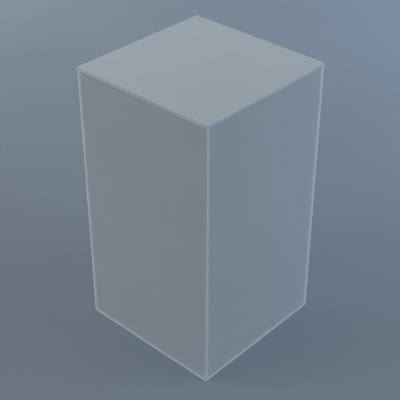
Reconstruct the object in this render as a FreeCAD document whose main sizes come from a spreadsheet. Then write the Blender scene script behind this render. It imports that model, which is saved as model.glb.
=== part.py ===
"""Free-standing display plinth: a tall five-sided box of frosted acrylic sheet, open underneath.

The left wall runs the full depth and covers the left ends of the front and rear walls. They in turn
cover the ends of the right wall, and the top panel lies over all four. The joints are butt joints: a
thin film of acrylic cement between the sheets, and a small bead of it in the inside corner. The exposed
edges of the sheets are rounded a little, and the edges along a joint are left square.

Frame: millimetres, +Z up, origin at the middle of the base, front wall towards -Y.
"""

import FreeCAD
import Part
import Sketcher
import os

# The driving dimensions, in millimetres, as they stand in the spreadsheet.
SIZES = {
    "outer_width": 250.0,
    "outer_depth": 250.0,
    "outer_height": 450.0,
    "sheet_thickness": 5.0,
    "cement_film": 0.2,
    "bead_leg": 1.2,
    "arris_radius": 0.5,
}

# Sizes that follow from them, as expressions on the spreadsheet's cells.
INNER_WIDTH = "(Sizes.outer_width - 2 * Sizes.sheet_thickness)"
INNER_DEPTH = "(Sizes.outer_depth - 2 * Sizes.sheet_thickness)"
UNDERSIDE = "(Sizes.outer_height - Sizes.sheet_thickness)"
WALL_HEIGHT = f"({UNDERSIDE} - Sizes.cement_film)"
END_GAP = "(Sizes.sheet_thickness + Sizes.cement_film)"

UP = FreeCAD.Vector(0, 0, 1)
# How far each wall is turned about the vertical from the front wall, in degrees, in order round the box.
TURNS = {"front": 0, "right": 90, "rear": 180, "left": 270}
RING = list(TURNS)
# The walls that cover the ends of each wall.
COVERED_BY = {"left": [], "front": ["left"], "rear": ["left"], "right": ["front", "rear"]}
NEAR = 1e-4  # positions closer than this, in millimetres, are the same


def make_sizes(doc):
    """The spreadsheet that holds the driving dimensions."""
    sheet = doc.addObject("Spreadsheet::Sheet", "Sizes")
    for row, (name, value) in enumerate(SIZES.items(), start=1):
        sheet.set(f"A{row}", name)
        sheet.set(f"B{row}", str(value))
        sheet.setAlias(f"B{row}", name)
    doc.recompute()


def make_body(doc, name):
    """An empty body whose label is the name of its piece."""
    body = doc.addObject("PartDesign::Body", name)
    body.Label = name
    return body


def make_sketch(body, name, corners):
    """A closed outline of straight edges on the body's XY plane, horizontal or vertical where drawn so."""
    sketch = body.newObject("Sketcher::SketchObject", name)
    plane = next(feature for feature in body.Origin.OriginFeatures if feature.Role == "XY_Plane")
    sketch.AttachmentSupport = [(plane, "")]
    sketch.MapMode = "FlatFace"
    for index, (x, y) in enumerate(corners):
        next_x, next_y = corners[(index + 1) % len(corners)]
        start = FreeCAD.Vector(x, y, 0)
        end = FreeCAD.Vector(next_x, next_y, 0)
        sketch.addGeometry(Part.LineSegment(start, end), False)
        if y == next_y:
            sketch.addConstraint(Sketcher.Constraint("Horizontal", index))
        if x == next_x:
            sketch.addConstraint(Sketcher.Constraint("Vertical", index))
    for index in range(len(corners)):
        following = (index + 1) % len(corners)
        sketch.addConstraint(Sketcher.Constraint("Coincident", index, 2, following, 1))
    return sketch


def set_size(sketch, name, kind, edge, expression):
    """Binds the length of one straight edge, measured along X or Y, to the spreadsheet."""
    line = sketch.Geometry[edge]
    span = line.EndPoint - line.StartPoint
    drawn = span.x if kind == "DistanceX" else span.y
    ends = (edge, 1, edge, 2) if drawn > 0 else (edge, 2, edge, 1)
    index = sketch.addConstraint(Sketcher.Constraint(kind, *ends, abs(drawn)))
    sketch.renameConstraint(index, name)
    sketch.setExpression(f"Constraints.{name}", expression)


def add_pad(body, name, sketch, length, midplane=False):
    """Pads a sketch along +Z, or both ways from its plane."""
    pad = body.newObject("PartDesign::Pad", name)
    pad.Profile = sketch
    pad.setExpression("Length", length)
    pad.Midplane = midplane
    sketch.Visibility = False
    return pad


def make_sheet(doc, name, length, width, height):
    """A body with one rectangular pad, centred on the origin in plan."""
    body = make_body(doc, name)
    plan = make_sketch(body, "Plan", [(-2, -1), (2, -1), (2, 1), (-2, 1)])
    plan.addConstraint(Sketcher.Constraint("Symmetric", 0, 1, 1, 2, -1, 1))
    set_size(plan, "Length", "DistanceX", 0, length)
    set_size(plan, "Width", "DistanceY", 1, width)
    pad = add_pad(body, "Sheet", plan, height)
    doc.recompute()
    return body, pad


def round_arrises(body, pad, is_exposed):
    """Rounds every edge of the pad whose middle is_exposed says yes to."""
    edges = enumerate(pad.Shape.Edges, start=1)
    names = [f"Edge{number}" for number, edge in edges if is_exposed(edge.CenterOfMass)]
    fillet = body.newObject("PartDesign::Fillet", "Arris")
    fillet.Base = (pad, names)
    fillet.setExpression("Radius", "Sizes.arris_radius")


def outwards(side):
    """The way that a wall faces, or the top panel."""
    if side == "top":
        return UP
    return FreeCAD.Rotation(UP, TURNS[side]).multVec(FreeCAD.Vector(0, -1, 0))


def place(body, lift, *steps):
    """Lifts a body and moves it off the vertical axis, each step towards a wall by some reach."""
    body.setExpression("Placement.Base.z", lift)
    for side, reach in steps:
        direction = outwards(side)
        axis = "y" if side in ("front", "rear") else "x"
        sign = round(direction.x + direction.y)
        body.setExpression(f"Placement.Base.{axis}", f"{sign} * {reach}")


def outer_length(side):
    """The outside of the box, measured along a wall."""
    return "Sizes.outer_width" if side in ("front", "rear") else "Sizes.outer_depth"


def inner_length(side):
    """The inside of the box, measured along a wall."""
    return INNER_WIDTH if side in ("front", "rear") else INNER_DEPTH


def half_inside(side):
    """From the vertical axis to the inner face of a wall."""
    return inner_length(round_the_ring(side, 1)) + " / 2"


def round_the_ring(side, steps):
    """The wall that stands some steps further round the box."""
    return RING[(RING.index(side) + steps) % len(RING)]


def set_back(side, gap):
    """The length between a wall's ends, where each covered end is set back from the outside by a gap."""
    return f"({outer_length(side)} - {len(COVERED_BY[side])} * {gap})"


def shift(side, gap):
    """The step, if any, that puts a piece midway between a wall's ends, as set_back leaves them."""
    away = [round_the_ring(cover, 2) for cover in COVERED_BY[side]]
    return [(away[0], f"{gap} / 2")] if len(away) == 1 else []


def make_wall(doc, side):
    """One upright wall, drawn as the front wall is, with its outer face towards -Y, and then turned.

    The foot is rounded all along, and at each end that isn't covered, so are the foot's end and the outer
    corner."""
    length = set_back(side, END_GAP)
    wall, pad = make_sheet(doc, f"{side}_panel", length, "Sizes.sheet_thickness", WALL_HEIGHT)
    half_height = pad.Shape.BoundBox.ZMax / 2

    def is_exposed(middle):
        at_foot = middle.z < NEAR
        if abs(middle.x) < NEAR:
            return at_foot
        up_outer_corner = abs(middle.z - half_height) < NEAR and middle.y < 0
        neighbour = round_the_ring(side, 1 if middle.x > 0 else -1)
        return (at_foot or up_outer_corner) and neighbour not in COVERED_BY[side]

    round_arrises(wall, pad, is_exposed)
    wall.Placement.Rotation = FreeCAD.Rotation(UP, TURNS[side])
    reach = f"({half_inside(side)} + Sizes.sheet_thickness / 2)"
    place(wall, "0", (side, reach), *shift(side, END_GAP))
    return wall


def make_top(doc):
    """The panel that lies over the walls. The edges of its underside end at cement and stay square."""
    top, pad = make_sheet(
        doc, "top_panel", "Sizes.outer_width", "Sizes.outer_depth", "Sizes.sheet_thickness"
    )
    round_arrises(top, pad, lambda middle: middle.z > NEAR)
    place(top, UNDERSIDE)
    return top


def make_seam(doc, name, cover, butted, film_length, bead_length, film_shift="0"):
    """The cement between the face of one sheet, the cover, and the edge of the sheet butted on it.

    Drawn with the inside corner at the origin, the cover's face along X and the butted sheet at +Y:
    the film runs out under that sheet's thickness, and the bead fills the corner on the other side.
    Along the joint, both are centred on the origin, apart from the film's shift."""
    seam = make_body(doc, name)
    film = make_sketch(seam, "FilmSection", [(0, 0), (4, 0), (4, 1), (0, 1)])
    film.addConstraint(Sketcher.Constraint("Coincident", 0, 1, -1, 1))
    set_size(film, "Depth", "DistanceX", 0, "Sizes.sheet_thickness")
    set_size(film, "Film", "DistanceY", 1, "Sizes.cement_film")
    film.setExpression("AttachmentOffset.Base.z", film_shift)
    add_pad(seam, "Film", film, film_length, midplane=True)
    bead = make_sketch(seam, "BeadSection", [(0, 0), (0, 2), (-2, 0)])
    bead.addConstraint(Sketcher.Constraint("Coincident", 0, 1, -1, 1))
    set_size(bead, "LegOnButted", "DistanceY", 0, "Sizes.bead_leg")
    set_size(bead, "LegOnCover", "DistanceX", 2, "Sizes.bead_leg")
    add_pad(seam, "Bead", bead, bead_length, midplane=True)
    out = outwards(butted)
    away = outwards(cover) * -1
    seam.Placement.Rotation = FreeCAD.Rotation(out, away, out.cross(away), "XYZ")
    return seam


def make_corner_seam(doc, cover, butted):
    """The upright joint between a wall and the neighbour whose end it covers, named front or rear first."""
    first, second = (cover, butted) if cover in ("front", "rear") else (butted, cover)
    name = f"{first}_{second}_corner_seam"
    seam = make_seam(doc, name, cover, butted, WALL_HEIGHT, WALL_HEIGHT)
    steps = [(side, half_inside(side)) for side in (cover, butted)]
    place(seam, f"{WALL_HEIGHT} / 2", *steps)
    return seam


def make_top_seam(doc, side):
    """The joint along the top of a wall. Its film reaches the faces that cover the wall's ends, and its
    bead stops where it meets the corner seams' beads."""
    film_length = set_back(side, "Sizes.sheet_thickness")
    bead_length = f"({inner_length(side)} - 2 * Sizes.bead_leg)"
    film_shift = "0"
    for towards, reach in shift(side, "Sizes.sheet_thickness"):
        along = outwards(side).cross(UP * -1)
        film_shift = f"{round(along.dot(outwards(towards)))} * {reach}"
    seam = make_seam(doc, f"{side}_top_seam", "top", side, film_length, bead_length, film_shift)
    place(seam, UNDERSIDE, (side, half_inside(side)))
    return seam


def make_pieces(doc):
    """All the sub-parts, each in a body of its own."""
    pieces = [make_top(doc)]
    for side, covers in COVERED_BY.items():
        pieces.append(make_wall(doc, side))
        pieces.append(make_top_seam(doc, side))
        for cover in covers:
            pieces.append(make_corner_seam(doc, cover, side))
    doc.recompute()
    return pieces


def check(doc, pieces):
    """Stops on any object that failed to build and on any sub-part that isn't one valid solid."""
    failed = [item.Name for item in doc.Objects if {"Invalid", "Error"} & set(item.State)]
    if failed:
        raise RuntimeError(f"these objects failed to build: {failed}")
    for piece in pieces:
        shape = piece.Shape
        if shape.isNull() or not shape.isValid() or len(shape.Solids) != 1:
            raise RuntimeError(f"{piece.Label} is not one valid solid")


def export(pieces):
    """Writes each sub-part to the STEP file of its name."""
    os.makedirs("parts", exist_ok=True)
    for piece in pieces:
        piece.Shape.exportStep(f"parts/{piece.Label}.step")
        box = piece.Shape.BoundBox
        print(f"{piece.Label}: {piece.Shape.Volume:.1f} mm3, {box}")


document = FreeCAD.newDocument("display_plinth")
make_sizes(document)
sub_parts = make_pieces(document)
check(document, sub_parts)
export(sub_parts)
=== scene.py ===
"""The looks of the frosted acrylic display plinth: five satin sheets with polished edges, glued with clear
cement, standing on a plain floor in soft light. Metres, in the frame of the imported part: +Z up, the
origin at the middle of the base, the front wall towards -Y."""

import math

import bmesh
import bpy
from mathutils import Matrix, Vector


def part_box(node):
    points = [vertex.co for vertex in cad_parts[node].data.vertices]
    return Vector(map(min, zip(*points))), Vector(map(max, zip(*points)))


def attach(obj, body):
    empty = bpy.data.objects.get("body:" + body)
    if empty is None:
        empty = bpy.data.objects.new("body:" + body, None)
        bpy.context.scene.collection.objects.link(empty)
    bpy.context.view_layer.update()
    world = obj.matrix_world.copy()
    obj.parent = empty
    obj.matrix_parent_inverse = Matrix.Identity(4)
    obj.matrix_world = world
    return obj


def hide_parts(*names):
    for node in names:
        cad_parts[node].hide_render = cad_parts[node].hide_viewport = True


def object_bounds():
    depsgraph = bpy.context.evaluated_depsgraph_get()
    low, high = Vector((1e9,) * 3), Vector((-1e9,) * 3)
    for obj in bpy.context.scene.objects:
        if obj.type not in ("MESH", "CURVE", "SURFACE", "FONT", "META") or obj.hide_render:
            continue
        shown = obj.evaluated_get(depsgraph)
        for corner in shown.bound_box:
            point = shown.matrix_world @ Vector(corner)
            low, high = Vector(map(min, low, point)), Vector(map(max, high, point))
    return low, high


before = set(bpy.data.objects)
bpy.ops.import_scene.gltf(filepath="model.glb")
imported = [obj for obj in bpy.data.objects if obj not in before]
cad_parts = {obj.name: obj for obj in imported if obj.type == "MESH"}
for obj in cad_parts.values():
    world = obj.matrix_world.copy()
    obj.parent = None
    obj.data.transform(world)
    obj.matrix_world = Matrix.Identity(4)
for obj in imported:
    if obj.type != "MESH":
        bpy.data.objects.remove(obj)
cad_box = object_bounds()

MM = 0.001
LOW, HIGH = cad_box
CENTRE = (LOW + HIGH) / 2

# The sheets of the box: each node's name, and the axis that runs through its thickness (0 X, 1 Y, 2 Z).
SHEET_AXES = {"top_panel": 2, "front_panel": 1, "rear_panel": 1, "left_panel": 0, "right_panel": 0}
SEAMS = sorted(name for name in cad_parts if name.endswith("_seam"))

ARRIS = 0.5 * MM  # radius of the polished edge
ARRIS_STEPS = 4  # faces across a rounded edge
RIM = 5 * MM  # how far from the foot and the corners the painted glow reaches, which stands for the light that a wall carries
CELL = 24 * MM  # about the size of a face's cells
TOUCH = 0.01 * MM  # closer than this, two positions are the same
SHARP = math.radians(45)  # an edge whose faces turn by more than this isn't shaded smooth
SQUARE_ON = 0.999  # a face points along an axis if its normal has this much of it

# Which of a sheet's materials a face has. FOOT is the strip with the painted glow along the foot.
SATIN, FOOT, EDGE = 0, 1, 2

ACRYLIC_IOR = 1.49
CEMENT_IOR = 1.48
CLEARNESS = 0.25  # how much of the light goes through the satin sheet and the cement
PAINTED_GLOW_STRENGTH = 0.11  # how strongly the cut edges give out painted glow, which stands for the light that the sheet carries
FRONT_CORNER = 0.15  # how much of that painted glow the front right corner shows, against 1 at the others

PAINTED_GLOW_WHITE = (0.96, 0.98, 1.0, 1)  # a cut edge where it is palest, painted paler with painted light
PAINTED_GLOW_COLOUR = (0.9, 0.97, 1.0, 1)  # the colour of the painted glow that comes out there
PAINTED_FAINT_GLOW = (0.23, 0.25, 0.26, 1)  # and of the faint painted glow from the rest of a cut edge
NO_GLOW = (0.0, 0.0, 0.0, 1)


# ---------------------------------------------------------------- shader nodes


class Shader:
    """The node tree of a material or of the world, with short ways to add to it."""

    def __init__(self, owner, surface="Principled BSDF", coordinates="Object"):
        owner.use_nodes = True
        self.owner = owner
        self.tree = owner.node_tree
        self.surface = self.tree.nodes[surface]
        self.place = self.tree.nodes.new("ShaderNodeTexCoord").outputs[coordinates]

    def node(self, kind, settings=None, **inputs):
        """Adds a node, sets its properties, and links or sets its inputs, named in lower case."""
        made = self.tree.nodes.new(kind)
        for name, value in (settings or {}).items():
            setattr(made, name, value)
        for name, value in inputs.items():
            self.feed(self.socket(made, name), value)
        return made

    def socket(self, node, name):
        """The node's first input in use of that name, or of that number for names such as at_1."""
        if name.startswith("at_"):
            return node.inputs[int(name[3:])]
        wanted = name.replace("_", " ")
        return next(s for s in node.inputs if s.enabled and s.name.lower() == wanted)

    def feed(self, socket, value):
        if isinstance(value, bpy.types.NodeSocket):
            self.tree.links.new(value, socket)
        else:
            socket.default_value = value

    def attribute(self, name):
        """A value that the mesh holds at each of its points."""
        return self.node("ShaderNodeAttribute", {"attribute_name": name}).outputs["Fac"]

    def stretched(self, scale):
        """The place on the object, with each axis stretched on its own."""
        return self.node("ShaderNodeMapping", vector=self.place, scale=scale).outputs["Vector"]

    def noise(self, scale, detail=3.0, roughness=0.55, place=None):
        """Smooth noise between 0 and 1, scale being its spots to the metre."""
        made = self.node(
            "ShaderNodeTexNoise",
            vector=place or self.place,
            scale=scale,
            detail=detail,
            roughness=roughness,
        )
        return made.outputs["Fac"]

    def ramp(self, value, low, high, to_low=0.0, to_high=1.0):
        """value between low and high, taken smoothly to between to_low and to_high."""
        made = self.node(
            "ShaderNodeMapRange",
            {"interpolation_type": "SMOOTHSTEP"},
            value=value,
            from_min=low,
            from_max=high,
            to_min=to_low,
            to_max=to_high,
        )
        return made.outputs["Result"]

    def maths(self, operation, first, second):
        made = self.node("ShaderNodeMath", {"operation": operation}, at_0=first, at_1=second)
        return made.outputs["Value"]

    def blend(self, factor, first, second):
        """Two colours, mixed by a factor. The node's colour sockets are its inputs 6 and 7 and output 2."""
        made = self.node("ShaderNodeMix", {"data_type": "RGBA"}, at_0=factor, at_6=first, at_7=second)
        return made.outputs[2]

    def bumps(self, *layers):
        """Bump maps laid over each other, each one a height and its depth in metres."""
        normal = None
        for height, depth in layers:
            below = {"normal": normal} if normal else {}
            made = self.node("ShaderNodeBump", height=height, distance=depth, strength=1.0, **below)
            normal = made.outputs["Normal"]
        self.feed(self.surface.inputs["Normal"], normal)

    def set(self, **inputs):
        """Links or sets inputs of the surface."""
        for name, value in inputs.items():
            self.feed(self.socket(self.surface, name), value)


# ---------------------------------------------------------------- materials


def satin_relief(shader):
    """The relief of a satin face: soft smears and a fine even grain. Returns the smears."""
    smear = shader.noise(38.0, detail=5.0, roughness=0.6, place=shader.stretched((1.0, 1.0, 0.45)))
    grain = shader.noise(2600.0, detail=2.0)
    shader.bumps((smear, 0.02 * MM), (grain, 0.006 * MM))
    return smear


def satin_acrylic():
    """The frosted face of the sheet: fine even satin grain, faint clouding, a few soft rub marks."""
    shader = Shader(bpy.data.materials.new("satin_acrylic"))
    cloud = shader.noise(9.0, detail=4.0)
    rubs = shader.ramp(shader.noise(120.0, place=shader.stretched((1.0, 1.0, 0.12))), 0.66, 0.8)
    colour = shader.blend(shader.ramp(cloud, 0.3, 0.7), (0.78, 0.84, 0.88, 1), (0.80, 0.86, 0.90, 1))
    colour = shader.blend(shader.maths("MULTIPLY", rubs, 0.25), colour, (0.73, 0.79, 0.83, 1))
    sheen = shader.ramp(satin_relief(shader), 0.25, 0.75, 0.42, 0.5)
    shader.set(
        base_color=colour,
        roughness=shader.maths("ADD", sheen, shader.maths("MULTIPLY", rubs, 0.05)),
        ior=ACRYLIC_IOR,
        transmission_weight=CLEARNESS,
    )
    return shader.owner


def painted_foot_glow():
    """The lowest strip of a wall's face, with painted light: it is painted paler and glowing towards the
    foot, which stands for the light that the sheet carries.
    """
    shader = Shader(bpy.data.materials.new("painted_foot_glow"))
    # painted light: how strongly the strip is painted paler and glowing, taken from the foot mask
    painted_glow = shader.ramp(shader.attribute("foot"), 0.0, 0.5)
    shader.set(
        base_color=shader.blend(painted_glow, (0.74, 0.80, 0.83, 1), PAINTED_GLOW_WHITE),
        emission_color=shader.blend(painted_glow, NO_GLOW, PAINTED_GLOW_COLOUR),
        emission_strength=PAINTED_GLOW_STRENGTH,
        roughness=shader.ramp(satin_relief(shader), 0.25, 0.75, 0.4, 0.5),
        ior=ACRYLIC_IOR,
    )
    return shader.owner


def polished_edge_painted_glow():
    """The cut edge of the sheet: sawn, scraped and polished. It has painted light: it is painted palest and
    glowing at the box's foot and corners, and glows faintly elsewhere.
    """
    shader = Shader(bpy.data.materials.new("polished_edge_painted_glow"))
    # painted light: how strongly the edge is painted paler and glowing, from the foot and corner masks
    painted_glow = shader.maths("MAXIMUM", shader.attribute("foot"), shader.attribute("corner"))
    cloud = shader.noise(60.0, detail=3.0)
    saw = shader.noise(900.0, detail=2.0)
    tint = shader.blend(shader.ramp(cloud, 0.3, 0.7), (0.84, 0.89, 0.92, 1), (0.88, 0.93, 0.96, 1))
    shader.set(
        base_color=shader.blend(painted_glow, tint, PAINTED_GLOW_WHITE),
        emission_color=shader.blend(painted_glow, PAINTED_FAINT_GLOW, PAINTED_GLOW_COLOUR),
        emission_strength=PAINTED_GLOW_STRENGTH,
        roughness=shader.ramp(saw, 0.3, 0.7, 0.16, 0.26),
        ior=ACRYLIC_IOR,
    )
    shader.bumps((cloud, 0.05 * MM), (saw, 0.012 * MM))
    return shader.owner


def clear_cement():
    """Set acrylic cement: clear, glossy, with small bubbles and a slight haze."""
    shader = Shader(bpy.data.materials.new("clear_cement"))
    cells = shader.node("ShaderNodeTexVoronoi", vector=shader.place, scale=450.0)
    bubble = shader.ramp(cells.outputs["Distance"], 0.18, 0.34, 1.0, 0.0)
    haze = shader.noise(80.0, detail=4.0)
    colour = shader.blend(shader.ramp(haze, 0.3, 0.7), (0.86, 0.9, 0.91, 1), (0.94, 0.97, 0.98, 1))
    shader.set(
        base_color=shader.blend(bubble, colour, (1.0, 1.0, 1.0, 1)),
        roughness=shader.ramp(haze, 0.3, 0.7, 0.2, 0.34),
        ior=CEMENT_IOR,
        transmission_weight=CLEARNESS,
    )
    shader.bumps((bubble, 0.05 * MM))
    return shader.owner


def floor_paper():
    """Matt blue-grey background paper."""
    shader = Shader(bpy.data.materials.new("floor_paper"))
    fibre = shader.noise(1400.0, detail=3.0)
    cloud = shader.noise(1.3, detail=3.0)
    shader.set(
        base_color=shader.blend(
            shader.ramp(cloud, 0.3, 0.7), (0.273, 0.325, 0.385, 1), (0.293, 0.345, 0.405, 1)
        ),
        roughness=shader.ramp(fibre, 0.3, 0.7, 0.8, 0.92),
        specular_ior_level=0.25,
    )
    shader.bumps((fibre, 0.03 * MM))
    return shader.owner


# ---------------------------------------------------------------- the sheets


def outside_gaps(point):
    """How far a point lies within the outside of the box, in X and in Y."""
    return [min(point[i] - LOW[i], HIGH[i] - point[i]) for i in (0, 1)]


def is_exposed(name, axis, edge, low):
    """Whether an edge of a sheet is open to the touch, and so rounded. Edges along a joint are square."""
    if edge.calc_face_angle() < SHARP:
        return False
    start, end = (vertex.co for vertex in edge.verts)
    middle = (start + end) / 2
    if name == "top_panel":
        return middle.z > low.z + TOUCH
    at_outside = [gap < TOUCH for gap in outside_gaps(middle)]
    if middle.z < low.z + TOUCH:
        runs_across_the_thickness = abs(end[axis] - start[axis]) > TOUCH
        return at_outside[1 - axis] or not runs_across_the_thickness
    return all(at_outside)


def painted_foot_glow_level(point):
    """How strongly a point is painted with the glow along the box's foot, which stands for the light that
    comes out there: 1 at the very edge, 0 from
    RIM on."""
    return max(0.0, 1.0 - max(min(outside_gaps(point)), point.z - LOW.z) / RIM)


def painted_corner_glow_level(name, point):
    """How strongly a point is painted with the glow up the box's corners, which stands for the light that
    comes out there: 1 at the very edge, 0 from
    RIM on, and less at the front right corner. The top panel, which lies over the corners, is painted with
    none."""
    if name == "top_panel":
        return 0.0
    light = max(0.0, 1.0 - max(outside_gaps(point)) / RIM)
    at_front_right = point.x > CENTRE.x and point.y < CENTRE.y
    return light * FRONT_CORNER if at_front_right else light


def cut_positions(low, high):
    """Where a sheet's faces are cut across: at the rim near each edge, and in even cells between."""
    cells = round((high - low - 2 * RIM) / CELL)
    return [low + RIM + (high - low - 2 * RIM) * i / cells for i in range(cells + 1)]


def cut_block(low, high, axis):
    """A square-edged sheet, its faces cut into cells."""
    mesh = bmesh.new()
    bmesh.ops.create_cube(mesh, size=1.0)
    for vertex in mesh.verts:
        vertex.co = Vector([(low, high)[vertex.co[i] > 0][i] for i in range(3)])
    for i in range(3):
        if i == axis:
            continue
        normal = Vector([1.0 if i == j else 0.0 for j in range(3)])
        for position in cut_positions(low[i], high[i]):
            everything = mesh.verts[:] + mesh.edges[:] + mesh.faces[:]
            bmesh.ops.bisect_plane(mesh, geom=everything, plane_co=normal * position, plane_no=normal)
    mesh.normal_update()
    return mesh


def round_open_edges(mesh, name, axis, low):
    """Rounds the edges that are open to the touch, and keeps the shading of the square ones sharp."""
    bmesh.ops.bevel(
        mesh,
        geom=[edge for edge in mesh.edges if is_exposed(name, axis, edge, low)],
        offset=ARRIS,
        segments=ARRIS_STEPS,
        profile=0.5,
        affect="EDGES",
    )
    mesh.normal_update()
    for edge in mesh.edges:
        edge.smooth = edge.calc_face_angle() < SHARP


def mark_surfaces(mesh, name, axis):
    """Says which material each face has, and how strongly each point is painted with the glow from the
    edges.
    """
    # the masks of the painted glow along the foot and up the corners
    foot = mesh.verts.layers.float.new("foot")
    corner = mesh.verts.layers.float.new("corner")
    for vertex in mesh.verts:
        vertex[foot] = painted_foot_glow_level(vertex.co)
        vertex[corner] = painted_corner_glow_level(name, vertex.co)
    for face in mesh.faces:
        face.smooth = True
        if abs(face.normal[axis]) < SQUARE_ON:
            face.material_index = EDGE
        elif max(vertex.co.z for vertex in face.verts) < LOW.z + RIM + TOUCH:
            face.material_index = FOOT
        else:
            face.material_index = SATIN


def build_sheet(name, axis, materials):
    """One sheet as CAD has it, with finer rounded edges. materials are in the order SATIN, FOOT, EDGE."""
    low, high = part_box(name)
    mesh = cut_block(low, high, axis)
    round_open_edges(mesh, name, axis, low)
    mark_surfaces(mesh, name, axis)
    data = bpy.data.meshes.new(name + "_sheet")
    mesh.to_mesh(data)
    mesh.free()
    sheet = bpy.data.objects.new(name + "_sheet", data)
    bpy.context.scene.collection.objects.link(sheet)
    for material in materials:
        data.materials.append(material)
    sheet.modifiers.new("flat_faces", "WEIGHTED_NORMAL").keep_sharp = True
    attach(sheet, "root")
    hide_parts(name)


def fill_seams(cement):
    """Gives the CAD's own joints their material."""
    for seam_name in SEAMS:
        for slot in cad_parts[seam_name].material_slots:
            slot.material = cement


sheet_materials = [satin_acrylic(), painted_foot_glow(), polished_edge_painted_glow()]
for sheet_name, thickness_axis in SHEET_AXES.items():
    build_sheet(sheet_name, thickness_axis, sheet_materials)
fill_seams(clear_cement())


# ---------------------------------------------------------------- floor, light and camera

FLOOR_SIZE = 40.0
HORIZON = (0.075, 0.09, 0.11, 1)  # the colour of the light from all round, low down
ZENITH = (0.415, 0.37, 0.34, 1)  # and from straight above

LENS = 87.9  # mm
CAMERA_TURN = 42.72  # degrees from the front towards +X
CAMERA_RISE = 33.88  # degrees
CAMERA_REACH = 1.5245
AIM_HEIGHT = 0.2169  # of the point that the camera looks at
AIM_ASIDE = -0.0017  # of that point from the box's middle, to the camera's right

SOFTBOX_RISE = 25  # degrees
FLOOR_LIGHT_HEIGHT = 1.3
FLOOR_LIGHT_SIZE = 1.4


def around(point, turn, rise, reach):
    """A place round a point: turn from the front towards +X, and rise, in degrees; reach in metres."""
    turn, rise = math.radians(turn), math.radians(rise)
    way = Vector((math.sin(turn) * math.cos(rise), -math.cos(turn) * math.cos(rise), math.sin(rise)))
    return point + way * reach


def aim(thing, target):
    thing.rotation_euler = (target - thing.location).to_track_quat("-Z", "Y").to_euler()


def make_floor():
    mesh = bmesh.new()
    bmesh.ops.create_grid(mesh, x_segments=1, y_segments=1, size=FLOOR_SIZE / 2)
    data = bpy.data.meshes.new("floor")
    mesh.to_mesh(data)
    mesh.free()
    floor = bpy.data.objects.new("floor", data)
    bpy.context.scene.collection.objects.link(floor)
    data.materials.append(floor_paper())


def make_light(name, place, target, size, power, colour, shadow=True):
    """A square softbox, out of the camera's sight. Metres and watts."""
    data = bpy.data.lights.new(name, "AREA")
    data.shape = "SQUARE"
    data.size = size
    data.energy = power
    data.color = colour
    data.use_shadow = shadow
    light = bpy.data.objects.new(name, data)
    bpy.context.scene.collection.objects.link(light)
    light.location = place
    light.visible_camera = False
    aim(light, target)


def make_softbox(name, turn, reach, size, power, colour):
    """A softbox that points at the box's middle."""
    make_light(name, around(CENTRE, turn, SOFTBOX_RISE, reach), CENTRE, size, power, colour)


def make_floor_light(name, x, y, power, colour):
    """A softbox that points straight down at the floor. It casts no shadow, because light passes through
    the real box and reaches the floor at its foot."""
    place = Vector((x, y, FLOOR_LIGHT_HEIGHT))
    make_light(name, place, Vector((x, y, 0)), FLOOR_LIGHT_SIZE, power, colour, shadow=False)


def make_camera():
    data = bpy.data.cameras.new("camera")
    data.lens = LENS
    camera = bpy.data.objects.new("camera", data)
    bpy.context.scene.collection.objects.link(camera)
    turn = math.radians(CAMERA_TURN)
    target = CENTRE + Vector((math.cos(turn), math.sin(turn), 0)) * AIM_ASIDE
    target.z = LOW.z + AIM_HEIGHT
    camera.location = around(target, CAMERA_TURN, CAMERA_RISE, CAMERA_REACH)
    aim(camera, target)
    bpy.context.scene.camera = camera


def make_world():
    """Soft light from all round, brighter towards the zenith. The horizon is as bright as the far floor."""
    shader = Shader(bpy.data.worlds.new("studio"), surface="Background", coordinates="Generated")
    way = shader.node("ShaderNodeSeparateXYZ", vector=shader.place)
    height = shader.node("ShaderNodeClamp", value=way.outputs["Z"]).outputs["Result"]
    shader.set(color=shader.blend(shader.maths("POWER", height, 2.0), HORIZON, ZENITH))
    bpy.context.scene.world = shader.owner


make_floor()
make_softbox("left_softbox", turn=325, reach=2.2, size=1.6, power=9.1, colour=(0.97, 1.0, 0.96))
make_softbox("right_softbox", turn=125, reach=2.2, size=1.6, power=11.0, colour=(0.68, 0.86, 1.0))
make_softbox("rear_softbox", turn=222.7, reach=3.0, size=1.5, power=3.5, colour=(0.55, 0.80, 1.0))
make_floor_light("floor_light_rear", x=0.3, y=2.1, power=20.3, colour=(0.58, 0.78, 1.0))
make_floor_light("floor_light_left", x=-2.2, y=0.6, power=15.1, colour=(0.98, 1.0, 0.99))
make_world()
make_camera()
bpy.context.scene.view_settings.view_transform = "Standard"
